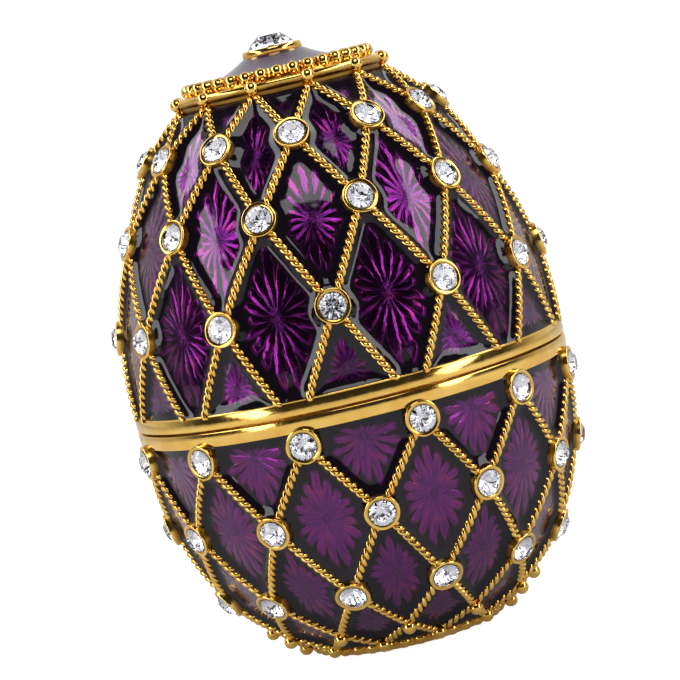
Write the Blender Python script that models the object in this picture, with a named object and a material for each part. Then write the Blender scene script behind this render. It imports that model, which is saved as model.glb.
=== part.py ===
"""Egg-shaped trinket box: two enamelled castings with a rope lattice and rows of set crystals."""

import math

import bmesh
import bpy
from mathutils import Matrix, Vector

MM = 0.001

# Egg body: outer surface of the enamel, turned about Z, its lower tip cut off by the ground
EGG_RADIUS = 25.14 * MM
EGG_UPPER = 36.83 * MM
EGG_LOWER = 34.57 * MM
TIP_CUT = 1.89 * MM
UPPER_POWER = 1.935
LOWER_POWER = 2.565
EGG_WIDEST = EGG_LOWER - TIP_CUT
EGG_TIP = EGG_WIDEST + EGG_UPPER

# Seam between the lid and the base, in the middle of the plain band
SEAM_DROP = 2.36 * MM
SEAM_GAP = 0.3 * MM
BAND_HALF = 1.8 * MM
BAND_PROUD = 0.42 * MM
BAND_SIDES = 36
SEAM = EGG_WIDEST - SEAM_DROP
BAND_TOP = SEAM + BAND_HALF
BAND_BOTTOM = SEAM - BAND_HALF

# Rows of set stones and small balls: the lid's lie below the tip, and row 4 below the band
STONES_PER_ROW = 12
TOP_BALLS_DROP = 4.41 * MM
ROW_1_DROP = 9.61 * MM
ROW_2_DROP = 17.81 * MM
ROW_3_DROP = 28.41 * MM
ROW_4_DROP = 1.47 * MM
TOP_BALLS = EGG_TIP - TOP_BALLS_DROP
ROW_1 = EGG_TIP - ROW_1_DROP
ROW_2 = EGG_TIP - ROW_2_DROP
ROW_3 = EGG_TIP - ROW_3_DROP
ROW_4 = BAND_BOTTOM - ROW_4_DROP
ROW_5 = 18.05 * MM
ROW_6 = 9.1 * MM
UNDER_BALLS = 3.75 * MM

# Rope lattice
ROPE_WIDTH = 0.9 * MM
ROPE_PROUD = 0.5 * MM
ROPE_PAIR_SPACING = 3.4 * MM

# Cups, stones and balls
STONE_SIDES = 8
FUSED_STONE_SIDES = 6
STONE_RADIUS = 1.4 * MM
STONE_TABLE = 0.8 * MM
STONE_CROWN = 0.6 * MM
STONE_PAVILION = 1.15 * MM
STONE_CLEARANCE = 0.15 * MM
CUP_RIM = 0.4 * MM
CUP_FLARE = 0.15 * MM
CUP_PROUD = 1.0 * MM
CUP_ROOT = 0.6 * MM
CUP_RIM_RADIUS = STONE_RADIUS + STONE_CLEARANCE + CUP_RIM
CUP_RADIUS = CUP_RIM_RADIUS + CUP_FLARE
BALL_RADIUS = 0.78 * MM
TOP_BALL_PROUD = 1.15 * MM
UNDER_BALL_PROUD = 0.55 * MM

# Turned top of the lid, from the rim bar up to the crown crystal
CROWN_SIDES = 24
RIM_BAR_DROP = 4.01 * MM
RIM_BAR_PROUD = 1.41 * MM
RIM_BAR_HALF = 0.75 * MM
BEAD_RING_INSET = 2.05 * MM
BEAD_RING_RISE = 1.7 * MM
BEAD_HALF = 0.7 * MM
CAP_RISE = 2.1 * MM
CAP_POWER = 1.9
CROWN_STONE_RADIUS = 2.7 * MM
CROWN_STONE_TABLE = 1.5 * MM
CROWN_STONE_CROWN = 1.3 * MM
CROWN_STONE_PAVILION = 1.7 * MM
CROWN_STONE_SIDES = 12
CROWN_STONE_LIFT = 0.1 * MM
CROWN_SEAT_DEPTH = 0.2 * MM
CROWN_CUP_WALL = 0.8 * MM
CROWN_CUP_RISE = 0.8 * MM
RIM_BAR_HEIGHT = EGG_TIP - RIM_BAR_DROP
BEAD_RING_HEIGHT = RIM_BAR_HEIGHT + BEAD_RING_RISE
CROWN_CUP_TOP = BEAD_RING_HEIGHT + CAP_RISE + CROWN_CUP_RISE
CROWN_GIRDLE = CROWN_CUP_TOP + CROWN_STONE_LIFT

# Foot
FOOT_PROUD = 1.1 * MM
FOOT_BEAD_HALF = 0.7 * MM
FOOT_UNDERCUT = 1.2 * MM
FOOT_FLAT_WIDTH = 2.0 * MM
FOOT_RECESS = 0.6 * MM
FOOT_INSIDE = 0.8 * MM

# Walls, the lip on the base and the hollow
WALL = 1.4 * MM
LIP_HEIGHT = 1.3 * MM
LIP_WALL = 0.8 * MM
LIP_CLEARANCE = 0.3 * MM
COLLAR_DROP = 2.32 * MM
ROOF = 2.0 * MM
FLOOR = 2.0 * MM
HOLLOW_SIDES = 24
HOLLOW_STEPS = 4
COLLAR_BOTTOM = BAND_BOTTOM - COLLAR_DROP
CEILING = BEAD_RING_HEIGHT - ROOF

# Lattice grid: four columns between neighbouring stones of a row
COLUMNS = 4 * STONES_PER_ROW
HALF_STEP = 2
CLOSE = 1e-7

# Stone rows as (height, whether it is turned by half a stone step)
LID_ROWS = ((ROW_1, False), (ROW_2, True), (ROW_3, False))
BAND_ROW = ((ROW_4, True),)
LOW_ROWS = ((ROW_5, False), (ROW_6, True))


def egg_radius(z, inset=0.0):
    """Radius at height z of the egg, or of a smaller egg that keeps the inset all round."""
    above = z > EGG_WIDEST
    depth, power = (EGG_UPPER, UPPER_POWER) if above else (EGG_LOWER, LOWER_POWER)
    share = abs(z - EGG_WIDEST) / (depth - inset)
    return (EGG_RADIUS - inset) * math.sqrt(1 - share**power)


def egg_frame(z, angle):
    """Matrix that stands a piece on the egg, with its +Z along the surface's normal."""
    step = 0.01 * MM
    slope = (egg_radius(z + step) - egg_radius(z - step)) / (2 * step)
    outward = Vector((math.sin(angle), -math.cos(angle), 0))
    sideways = Vector((math.cos(angle), math.sin(angle), 0))
    normal = (outward - slope * Vector((0, 0, 1))).normalized()
    axes = Matrix((sideways, normal.cross(sideways), normal)).transposed()
    return Matrix.Translation(outward * egg_radius(z) + Vector((0, 0, z))) @ axes.to_4x4()


def column_angle(column):
    return math.tau * column / COLUMNS


def row_angles(half_step):
    """Angles of a row's stones; a half-step row sits between its neighbours' stones."""
    start = HALF_STEP if half_step else 0
    return [column_angle(column) for column in range(start, COLUMNS, 4)]


def surface(name, colour, metallic, roughness):
    made = bpy.data.materials.new(name)
    made.use_nodes = True
    shader = made.node_tree.nodes["Principled BSDF"]
    shader.inputs["Base Color"].default_value = (*colour, 1)
    shader.inputs["Metallic"].default_value = metallic
    shader.inputs["Roughness"].default_value = roughness
    return made


def mesh_from(bm, name):
    bmesh.ops.recalc_face_normals(bm, faces=bm.faces)
    mesh = bpy.data.meshes.new(name)
    bm.to_mesh(mesh)
    bm.free()
    return mesh


def new_object(name, mesh, material=None):
    made = bpy.data.objects.new(name, mesh)
    bpy.context.scene.collection.objects.link(made)
    if material:
        mesh.materials.append(material)
        mesh.shade_smooth()
        mesh.set_sharp_from_angle(angle=math.radians(30))
    return made


def turned(name, profile, sides):
    """Closed mesh turned about Z from (radius, height) points that start and end on the axis."""
    bm = bmesh.new()
    verts = [bm.verts.new((radius, 0, z)) for radius, z in profile]
    edges = [bm.edges.new(pair) for pair in zip(verts, verts[1:])]
    bmesh.ops.spin(
        bm,
        geom=verts + edges,
        cent=(0, 0, 0),
        axis=(0, 0, 1),
        angle=math.tau,
        steps=sides,
        use_merge=True,
    )
    bmesh.ops.remove_doubles(bm, verts=bm.verts, dist=CLOSE)
    return mesh_from(bm, name)


def set_on_egg(name, mesh, rows, proud=0.0):
    """One mesh object with a copy at every place of the (height, half step) rows."""
    bm = bmesh.new()
    for z, half_step in rows:
        for angle in row_angles(half_step):
            placed = mesh.copy()
            placed.transform(egg_frame(z, angle) @ Matrix.Translation((0, 0, proud)))
            bm.from_mesh(placed)
            bpy.data.meshes.remove(placed)
    return new_object(name, mesh_from(bm, name))


def lattice_skin(name, rows, upper_end, lower_end, pair_level=None):
    """Closed egg skin with raised ropes on the diagonals between staggered rows.

    Levels alternate between rows, at even numbers, and the rope middles between them, at odd
    ones. Points are only on columns of the level's own parity, so that the faces are diamonds
    whose sides the ropes follow. pair_level is the odd level where ropes end in pairs.
    """
    heights = [upper_end]
    for first, second in zip(rows, rows[1:]):
        heights += [first, (first + second) / 2]
    heights += [rows[-1], *lower_end]
    levels = range(-1, len(heights) - 1)
    bm = bmesh.new()
    points = {}
    for level in levels:
        z = heights[level + 1]
        for column in range(level % 2, COLUMNS, 2):
            angle = column_angle(column)
            if level == pair_level:
                middle = column_angle(column - column % 4 + HALF_STEP)
                apart = ROPE_PAIR_SPACING / 2 / egg_radius(z)
                angle = middle + (apart if column % 4 == 3 else -apart)
            place = egg_frame(z, angle).translation
            points[level, column] = bm.verts.new(place)

    def corner(level, column):
        return points.get((level, column % COLUMNS))

    for level in levels:
        for column in range((level + 1) % 2, COLUMNS, 2):
            upper, lower = corner(level - 1, column), corner(level + 1, column)
            left, right = corner(level, column - 1), corner(level, column + 1)
            if upper and lower:
                bm.faces.new((upper, left, lower))
                bm.faces.new((upper, lower, right))
            else:
                bm.faces.new((upper or lower, left, right))

    # Each cell is the faces round its middle point: set in from the ropes, it leaves the rope's
    # middle line where it was, and that line is then lifted into a ridge.
    rope_lifts = []
    cells = []
    last_rope = pair_level or 2 * len(rows) - 2
    for (level, column), vert in points.items():
        junction_column = HALF_STEP if level % 4 == 0 else 0
        if level % 2 or column % 4 == junction_column:
            if 0 <= level <= last_rope:
                normal = egg_frame(vert.co.z, math.atan2(vert.co.x, -vert.co.y)).col[2].to_3d()
                lift = BAND_PROUD / 2 if level == pair_level else ROPE_PROUD
                rope_lifts.append((vert.co.copy(), normal * lift))
        elif level >= 0:
            cells.append(list(vert.link_faces))
    for faces in cells:
        bmesh.ops.inset_region(
            bm, faces=faces, thickness=ROPE_WIDTH / 2, use_even_offset=True, use_boundary=False
        )
    for spot, lift in rope_lifts:
        for vert in bm.verts:
            if (vert.co - spot).length < CLOSE:
                vert.co += lift
                break
    bmesh.ops.holes_fill(bm, edges=[edge for edge in bm.edges if edge.is_boundary])
    return mesh_from(bm, name)


def hollow_wall(top, bottom):
    """Points down the inside of the egg's wall, closer together where it curves in."""
    points = []
    for step in range(HOLLOW_STEPS + 1):
        share = math.sin(math.pi / 2 * step / HOLLOW_STEPS)
        far, near = (top, bottom) if top > EGG_WIDEST else (bottom, top)
        z = near + (far - near) * share
        points.append((egg_radius(z, WALL), z))
    return sorted(points, key=lambda point: -point[1])


def boolean(target, operation, tools):
    """Joins or cuts the target with helper objects that stay out of the render."""
    holder = bpy.data.collections.new(f"{target.name}_{operation.lower()}")
    bpy.context.scene.collection.children.link(holder)
    for tool in tools:
        bpy.context.scene.collection.objects.unlink(tool)
        holder.objects.link(tool)
        tool.hide_render = True
        tool.display_type = "WIRE"
    cut = target.modifiers.new(operation.title(), "BOOLEAN")
    cut.operation = operation
    cut.operand_type = "COLLECTION"
    cut.collection = holder
    cut.solver = "EXACT"


def cup_mesh():
    """Round cup, tapered outside and still solid; local z = 0 is the egg surface."""
    top = [(0, CUP_PROUD), (CUP_RIM_RADIUS, CUP_PROUD)]
    return turned("cup", [*top, (CUP_RADIUS, -CUP_ROOT), (0, -CUP_ROOT)], STONE_SIDES)


def seat_mesh():
    """Cutter for the conical seat of a stone, the stone's pavilion grown by the clearance."""
    depth = STONE_PAVILION + STONE_CLEARANCE
    spread = STONE_RADIUS + STONE_CLEARANCE
    top = [(0, CUP_PROUD + depth), (2 * spread, CUP_PROUD + depth)]
    return turned("seat", [*top, (0, CUP_PROUD - depth)], STONE_SIDES)


def stone_mesh(radius, table, crown, pavilion, sides):
    """Brilliant-cut stone with its girdle at local z = 0."""
    profile = [(0, crown), (table, crown), (radius, 0), (0, -pavilion)]
    return turned("stone", profile, sides)


def filled_cup_mesh():
    """Cup and stone in one piece."""
    profile = [
        (0, CUP_PROUD + STONE_CROWN),
        (STONE_TABLE, CUP_PROUD + STONE_CROWN),
        (STONE_RADIUS, CUP_PROUD),
        (CUP_RIM_RADIUS, CUP_PROUD),
        (CUP_RADIUS, -CUP_ROOT),
        (0, -CUP_ROOT),
    ]
    return turned("filled_cup", profile, FUSED_STONE_SIDES)


def ball_mesh():
    bm = bmesh.new()
    bmesh.ops.create_icosphere(bm, subdivisions=1, radius=BALL_RADIUS)
    return mesh_from(bm, "ball")


def crown_profile():
    """Crown cup, concave cap, bead ring and rim bar, turned in one piece with the lid."""
    seat_radius = CROWN_STONE_RADIUS + STONE_CLEARANCE
    cup_radius = seat_radius + CROWN_CUP_WALL
    bar_radius = egg_radius(RIM_BAR_HEIGHT) + RIM_BAR_PROUD
    ring_radius = bar_radius - BEAD_RING_INSET
    cap_edge = ring_radius - BEAD_HALF
    cap = []
    for share in (0.75, 0.5, 0.25, 0):
        rise = CAP_RISE * share**CAP_POWER
        cap.append((cap_edge + (cup_radius - cap_edge) * share, BEAD_RING_HEIGHT + rise))
    return [
        (0, CROWN_CUP_TOP - CROWN_STONE_PAVILION - CROWN_SEAT_DEPTH),
        (seat_radius, CROWN_CUP_TOP),
        (cup_radius, CROWN_CUP_TOP),
        (cup_radius, BEAD_RING_HEIGHT + CAP_RISE),
        *cap,
        (ring_radius, BEAD_RING_HEIGHT + BEAD_HALF),
        (ring_radius + BEAD_HALF, BEAD_RING_HEIGHT),
        (ring_radius + BEAD_HALF, RIM_BAR_HEIGHT + RIM_BAR_HALF),
        (bar_radius - RIM_BAR_HALF / 2, RIM_BAR_HEIGHT + RIM_BAR_HALF),
        (bar_radius, RIM_BAR_HEIGHT),
        (bar_radius - RIM_BAR_HALF / 2, RIM_BAR_HEIGHT - RIM_BAR_HALF),
        (0, RIM_BAR_HEIGHT - RIM_BAR_HALF),
    ]


def lid_shell(gold):
    rows = (TOP_BALLS, ROW_1, ROW_2, ROW_3)
    seam = SEAM + SEAM_GAP / 2
    inside_band = (BAND_TOP + seam) / 2
    skin = lattice_skin(
        "lid_shell",
        rows,
        upper_end=RIM_BAR_HEIGHT + RIM_BAR_HALF / 2,
        lower_end=(BAND_TOP - BAND_PROUD / 2, inside_band),
        pair_level=2 * len(rows) - 1,
    )
    lid = new_object("lid_shell", skin, gold)
    band_radius = EGG_RADIUS + BAND_PROUD
    band = [(0, BAND_TOP), (band_radius, BAND_TOP), (band_radius, seam), (0, seam)]
    added = [
        new_object("lid_band", turned("lid_band", band, BAND_SIDES)),
        new_object("lid_crown", turned("lid_crown", crown_profile(), CROWN_SIDES)),
        set_on_egg("lid_cups", cup_mesh(), LID_ROWS),
        set_on_egg("lid_balls", ball_mesh(), ((TOP_BALLS, True),), TOP_BALL_PROUD),
    ]
    below = seam - SEAM_GAP
    mouth = [(EGG_RADIUS - WALL, below), (0, below)]
    inside = [(0, CEILING), *hollow_wall(CEILING, EGG_WIDEST), *mouth]
    hollow = new_object("lid_hollow", turned("lid_hollow", inside, HOLLOW_SIDES))
    boolean(lid, "UNION", added)
    seats = set_on_egg("lid_seats", seat_mesh(), LID_ROWS)
    boolean(lid, "DIFFERENCE", [hollow, seats])


def base_shell(gold):
    rows = (ROW_4, ROW_5, ROW_6, UNDER_BALLS)
    seam = SEAM - SEAM_GAP / 2
    inside_band = (BAND_BOTTOM + seam) / 2
    skin = lattice_skin("base_shell", rows, upper_end=inside_band, lower_end=(FOOT_INSIDE,))
    base = new_object("base_shell", skin, gold)
    band_radius = EGG_RADIUS + BAND_PROUD
    band = [(0, seam), (band_radius, seam), (band_radius, BAND_BOTTOM), (0, BAND_BOTTOM)]
    lip_radius = EGG_RADIUS - WALL - LIP_CLEARANCE
    lip = [(0, seam + LIP_HEIGHT), (lip_radius, seam + LIP_HEIGHT), (lip_radius, BAND_BOTTOM)]
    foot_radius = egg_radius(FOOT_BEAD_HALF) + FOOT_PROUD
    flat_radius = foot_radius - FOOT_UNDERCUT
    recess_radius = flat_radius - FOOT_FLAT_WIDTH
    foot = [
        (0, 2 * FOOT_BEAD_HALF),
        (foot_radius - FOOT_BEAD_HALF, 2 * FOOT_BEAD_HALF),
        (foot_radius, FOOT_BEAD_HALF),
        (flat_radius, 0),
        (recess_radius, 0),
        (recess_radius - FOOT_RECESS, FOOT_RECESS),
        (0, FOOT_RECESS),
    ]
    added = [
        new_object("base_band", turned("base_band", band, BAND_SIDES)),
        new_object("base_lip", turned("base_lip", [*lip, (0, BAND_BOTTOM)], HOLLOW_SIDES)),
        new_object("base_foot", turned("base_foot", foot, CROWN_SIDES)),
        set_on_egg("base_cups", cup_mesh(), BAND_ROW),
        set_on_egg("base_filled_cups", filled_cup_mesh(), LOW_ROWS),
        set_on_egg("under_balls", ball_mesh(), ((UNDER_BALLS, False),), UNDER_BALL_PROUD),
    ]
    mouth_radius = lip_radius - LIP_WALL
    mouth_top = seam + 2 * LIP_HEIGHT
    below_collar = COLLAR_BOTTOM - LIP_WALL - LIP_CLEARANCE
    mouth = [(0, mouth_top), (mouth_radius, mouth_top), (mouth_radius, COLLAR_BOTTOM)]
    inside = [*mouth, *hollow_wall(below_collar, FLOOR), (0, FLOOR)]
    hollow = new_object("base_hollow", turned("base_hollow", inside, HOLLOW_SIDES))
    boolean(base, "UNION", added)
    seats = set_on_egg("base_seats", seat_mesh(), BAND_ROW)
    boolean(base, "DIFFERENCE", [hollow, seats])


def crystals(crystal):
    """Rows 1 to 4 and the crown crystal, each a stone of its own in its cup."""
    stone = stone_mesh(STONE_RADIUS, STONE_TABLE, STONE_CROWN, STONE_PAVILION, STONE_SIDES)
    stone.materials.append(crystal)
    for row, (z, half_step) in enumerate((*LID_ROWS, *BAND_ROW), start=1):
        for number, angle in enumerate(row_angles(half_step), start=1):
            placed = new_object(f"crystal_row{row}_{number:02d}", stone)
            placed.matrix_world = egg_frame(z, angle) @ Matrix.Translation((0, 0, CUP_PROUD))
    crown = stone_mesh(
        CROWN_STONE_RADIUS,
        CROWN_STONE_TABLE,
        CROWN_STONE_CROWN,
        CROWN_STONE_PAVILION,
        CROWN_STONE_SIDES,
    )
    crown.materials.append(crystal)
    top = new_object("crown_crystal", crown)
    top.location.z = CROWN_GIRDLE


def main():
    for old in list(bpy.data.objects):
        bpy.data.objects.remove(old)
    gold = surface("gold_plated_casting", (0.83, 0.58, 0.24), 1.0, 0.25)
    crystal = surface("clear_crystal", (0.92, 0.93, 0.96), 0.0, 0.03)
    lid_shell(gold)
    base_shell(gold)
    crystals(crystal)


main()
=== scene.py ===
import math

import bmesh
import bpy
import numpy as np
from mathutils import Matrix, Vector


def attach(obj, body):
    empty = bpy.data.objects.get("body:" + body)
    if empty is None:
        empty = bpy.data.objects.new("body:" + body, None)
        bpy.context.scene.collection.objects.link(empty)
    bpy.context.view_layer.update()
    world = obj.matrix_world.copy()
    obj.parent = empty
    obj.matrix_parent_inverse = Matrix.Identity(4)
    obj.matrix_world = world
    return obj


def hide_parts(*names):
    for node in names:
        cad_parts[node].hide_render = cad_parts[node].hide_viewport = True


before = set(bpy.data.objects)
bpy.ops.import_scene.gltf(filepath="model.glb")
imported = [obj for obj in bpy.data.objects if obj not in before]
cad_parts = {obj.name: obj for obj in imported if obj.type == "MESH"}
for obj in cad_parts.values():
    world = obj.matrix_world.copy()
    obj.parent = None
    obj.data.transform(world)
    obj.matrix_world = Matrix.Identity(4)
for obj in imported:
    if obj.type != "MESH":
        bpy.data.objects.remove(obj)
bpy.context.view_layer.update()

mm = 0.001
print("frame loaded,", len(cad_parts), "nodes")

# Everything below is in millimetres until makePiece turns it into metres. Angles are degrees, 0 faces -Y.
egg = {
    "radius": 25.14,
    "widest": 32.68,  # height of the egg's widest place
    "upper": 36.83,  # from there to the upper pole, had the egg one
    "lower": 34.57,
    "upperPower": 1.935,  # 2 is an ellipse, less is more pointed
    "lowerPower": 2.565,
    "wall": 1.4,
}
rows = {  # height of each row on the egg, and the angle of its first stone or ball
    "rim": (65.5, 15),
    "topBalls": (65.1, 15),
    "row1": (59.9, 0),
    "row2": (51.7, 15),
    "row3": (41.1, 0),
    "bandTop": (31.9, 0),
    "row4": (27.05, 15),
    "row5": (18.05, 0),
    "row6": (9.1, 15),
    "underBalls": (3.75, 0),
    "footBalls": (1.45, 15),
}
perRow = 12  # stones in a row
step = 360 // perRow


def eggRadius(z, inset=0.0):
    z = np.asarray(z, float)
    above = z > egg["widest"]
    depth = np.where(above, egg["upper"], egg["lower"]) - inset
    power = np.where(above, egg["upperPower"], egg["lowerPower"])
    share = np.clip(np.abs(z - egg["widest"]) / depth, 0, 1)
    return (egg["radius"] - inset) * np.sqrt(1 - share**power)


def unit(vectors):
    return vectors / np.linalg.norm(vectors, axis=-1, keepdims=True)


def eggFrame(z, degrees):
    # point on the egg, then the directions across it, up it and out of it
    z, degrees = np.broadcast_arrays(np.asarray(z, float), np.asarray(degrees, float))
    turn = np.radians(degrees)
    zero = np.zeros_like(turn)
    slope = (eggRadius(z + 0.01) - eggRadius(z - 0.01)) / 0.02
    outward = np.stack([np.sin(turn), -np.cos(turn), zero], -1)
    across = np.stack([np.cos(turn), np.sin(turn), zero], -1)
    normal = unit(np.stack([np.sin(turn), -np.cos(turn), -slope], -1))
    place = outward * eggRadius(z)[..., None]
    place[..., 2] = z
    return place, across, np.cross(normal, across), normal


def between(start, end, share):
    # straight run between two (height, angle) places, pressed onto the egg
    (z0, a0), (z1, a1) = start, end
    r0, r1 = eggRadius(z0), eggRadius(z1)
    t0, t1 = math.radians(a0), math.radians(a1)
    x = r0 * math.sin(t0) * (1 - share) + r1 * math.sin(t1) * share
    y = r0 * math.cos(t0) * (1 - share) + r1 * math.cos(t1) * share
    return z0 + (z1 - z0) * share, np.degrees(np.arctan2(x, y))


# Shapes are dictionaries of points, quads, tris and marks, where a mark is one value or vector per point.


def shapeOf(points, quads=(), tris=(), **marks):
    return {
        "points": np.asarray(points, float).reshape(-1, 3),
        "quads": np.asarray(quads, int).reshape(-1, 4),
        "tris": np.asarray(tris, int).reshape(-1, 3),
        "marks": {name: np.asarray(value, float) for name, value in marks.items()},
    }


def joined(shapes):
    starts = np.cumsum([0] + [len(shape["points"]) for shape in shapes])
    whole = {"points": np.concatenate([shape["points"] for shape in shapes])}
    for kind in ("quads", "tris"):
        whole[kind] = np.concatenate([shape[kind] + start for shape, start in zip(shapes, starts)])
    names = {name for shape in shapes for name in shape["marks"]}
    whole["marks"] = {
        name: np.concatenate([
            shape["marks"].get(name, np.zeros(len(shape["points"]))) for shape in shapes
        ])
        for name in sorted(names)
    }
    return whole


def turned(shape, degrees):
    turn = math.radians(degrees)
    spin = np.array([
        [math.cos(turn), -math.sin(turn), 0],
        [math.sin(turn), math.cos(turn), 0],
        [0, 0, 1],
    ])
    return {**shape, "points": shape["points"] @ spin.T}


def allRound(shape, first):
    return joined([turned(shape, first + step * number) for number in range(perRow)])


def onEgg(shape, z, degrees, lift=0.0, spin=0.0):
    place, across, up, normal = eggFrame(z, degrees)
    points = turned(shape, spin)["points"]
    x, y, z = points[:, :1], points[:, 1:2], points[:, 2:]
    return {**shape, "points": place + x * across + y * up + (z + lift) * normal}


def arc(centre, radius, start, end, steps):
    turns = np.radians(np.linspace(start, end, steps + 1))
    return [(centre[0] + radius * math.cos(t), centre[1] + radius * math.sin(t)) for t in turns]


def bridge(rings):
    # quads from each ring of point numbers to the next one
    ahead = np.roll(rings, -1, 1)
    return np.stack([rings[:-1], ahead[:-1], ahead[1:], rings[1:]], -1).reshape(-1, 4)


def lathe(profile, sides, paintedShade=None):
    # (radius, height) points turned about Z: a ring, or a solid where the ends are on the axis
    profile = np.array(profile, float)
    # the darkening given for each profile point becomes the recess mark: painted shade on the gold
    paintedShade = np.zeros(len(profile)) if paintedShade is None else np.array(paintedShade, float)
    off = profile[:, 0] > 0
    ring, count = profile[off], int(off.sum())
    turns = np.linspace(0, 2 * math.pi, sides, endpoint=False)
    x, y = ring[:, :1] * np.sin(turns), -ring[:, :1] * np.cos(turns)
    points = np.stack([x, y, np.repeat(ring[:, 1:], sides, 1)], -1).reshape(-1, 3)
    index = np.arange(count * sides).reshape(count, sides)
    quads = bridge(index if not off.all() else np.vstack([index, index[:1]]))
    tris, marks = [], np.repeat(paintedShade[off], sides)
    for end, line in ((0, index[0]), (-1, index[-1])):
        if not off[end]:
            pole = len(points)
            points = np.vstack([points, [0, 0, profile[end, 1]]])
            marks = np.append(marks, paintedShade[end])
            tris.append(np.stack([np.full(sides, pole), line, np.roll(line, -1)], -1))
    tris = np.concatenate(tris) if tris else ()
    return shapeOf(points, quads, tris, recess=marks)


def makePiece(name, shape, finishes, stands, sharpAngle, finishOf=None):
    mesh = bpy.data.meshes.new(name)
    faces = shape["quads"].tolist() + shape["tris"].tolist()
    mesh.from_pydata((shape["points"] * mm).tolist(), [], faces)
    for mark, values in shape["marks"].items():
        kind = "FLOAT" if values.ndim == 1 else "FLOAT_VECTOR"
        layer = mesh.attributes.new(mark, kind, "POINT")
        layer.data.foreach_set("value" if values.ndim == 1 else "vector", values.ravel())
    bm = bmesh.new()
    bm.from_mesh(mesh)
    bmesh.ops.recalc_face_normals(bm, faces=bm.faces)
    bm.to_mesh(mesh)
    bm.free()
    for finish in finishes:
        mesh.materials.append(finish)
    if finishOf:
        mesh.polygons.foreach_set("material_index", [finishOf(face) for face in mesh.polygons])
    mesh.shade_smooth()
    mesh.set_sharp_from_angle(angle=math.radians(sharpAngle))
    piece = bpy.data.objects.new(name, mesh)
    bpy.context.scene.collection.objects.link(piece)
    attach(piece, "root")
    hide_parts(*stands)


# Materials: gold plate, enamel over rays, plain enamel, crystal and foil


def linear(hexColour):
    parts = [int(hexColour[i : i + 2], 16) / 255 for i in (1, 3, 5)]
    return (*[p / 12.92 if p <= 0.04045 else ((p + 0.055) / 1.055) ** 2.4 for p in parts], 1)


def addNode(tree, kind, settings=None, inputs=None):
    node = tree.nodes.new("ShaderNode" + kind)
    for key, value in (settings or {}).items():
        setattr(node, key, value)
    pairs = inputs.items() if isinstance(inputs, dict) else enumerate(inputs or ())
    for key, value in pairs:
        if isinstance(value, bpy.types.Node):
            value = value.outputs[0]
        if isinstance(value, bpy.types.NodeSocket):
            tree.links.new(value, node.inputs[key])
        elif value is not None:
            node.inputs[key].default_value = value
    return node


# settings that many nodes share
smooth = {"interpolation_type": "SMOOTHSTEP"}
ofColours = {"data_type": "RGBA"}


def newMaterial(name):
    material = bpy.data.materials.new(name)
    material.use_nodes = True
    material.node_tree.nodes.clear()
    return material, material.node_tree


def placeInMm(tree):
    # the piece's own coordinates in mm, so that a pattern's scale is one over its real size
    place = addNode(tree, "TexCoord").outputs["Object"]
    return addNode(tree, "VectorMath", {"operation": "MULTIPLY"}, [place, (1 / mm,) * 3])


goldPlate = {
    "gold": "#FFD574",
    "deep": "#EFAE48",
    "hollow": "#4A2406",  # painted shade, mixed in by the recess mark in grooves, corners and undersides
    "roughness": 0.11,
    "lumpSize": 1.1,  # mm between the soft lumps of a hand-polished casting
    "lumpHeight": 0.012,
    "patchesPerMm": 0.35,
    "patchDepth": 0.55,  # how far a patch of the plating goes towards the deep gold
    "cornerRoughness": 0.25,
    "satinRoughness": 0.34,  # the inside is tumbled but not buffed
    "satinLumpHeight": 0.03,
}


def castGold(name, roughness, lumpHeight):
    # Gold plate over a cast zinc alloy, tumbled and buffed: mirror bright on the tops, soft lumps
    # that bend the reflections, rougher in the corners that the buff doesn't reach, and painted shade there:
    # a dark brown in grooves, corners and undersides.
    material, tree = newMaterial(name)
    place = placeInMm(tree)
    lumps = addNode(tree, "TexNoise", {}, {
        "Vector": place, "Scale": 1 / goldPlate["lumpSize"], "Detail": 3.0, "Roughness": 0.45,
    })
    patches = addNode(tree, "TexNoise", {}, {
        "Vector": place, "Scale": goldPlate["patchesPerMm"], "Detail": 2.0,
    })
    recess = addNode(tree, "Attribute", {"attribute_name": "recess"}).outputs["Fac"]
    tone = addNode(tree, "MapRange", {}, [patches, 0.35, 0.65, 0.0, goldPlate["patchDepth"]])
    metal = addNode(tree, "Mix", ofColours, {
        "Factor": tone, "A": linear(goldPlate["gold"]), "B": linear(goldPlate["deep"]),
    })
    # painted shade: the gold goes towards the dark brown where the recess mark is high
    colour = addNode(tree, "Mix", ofColours, {
        "Factor": recess, "A": metal.outputs["Result"], "B": linear(goldPlate["hollow"]),
    })
    rough = addNode(tree, "MapRange", {}, [lumps, 0.3, 0.7, roughness * 0.8, roughness * 1.3])
    worn = addNode(tree, "Math", {"operation": "MULTIPLY_ADD"}, [
        recess, goldPlate["cornerRoughness"], rough,
    ])
    bump = addNode(tree, "Bump", {}, {"Strength": 1.0, "Distance": lumpHeight * mm, "Height": lumps})
    shader = addNode(tree, "BsdfPrincipled", {}, {
        "Base Color": colour.outputs["Result"], "Metallic": 1.0, "Roughness": worn, "Normal": bump,
    })
    addNode(tree, "OutputMaterial", {}, {"Surface": shader})
    return material


polishedGold = castGold("polishedGoldPlate", goldPlate["roughness"], goldPlate["lumpHeight"])
satinGold = castGold("satinGoldPlateInside", goldPlate["satinRoughness"], goldPlate["satinLumpHeight"])

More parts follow.
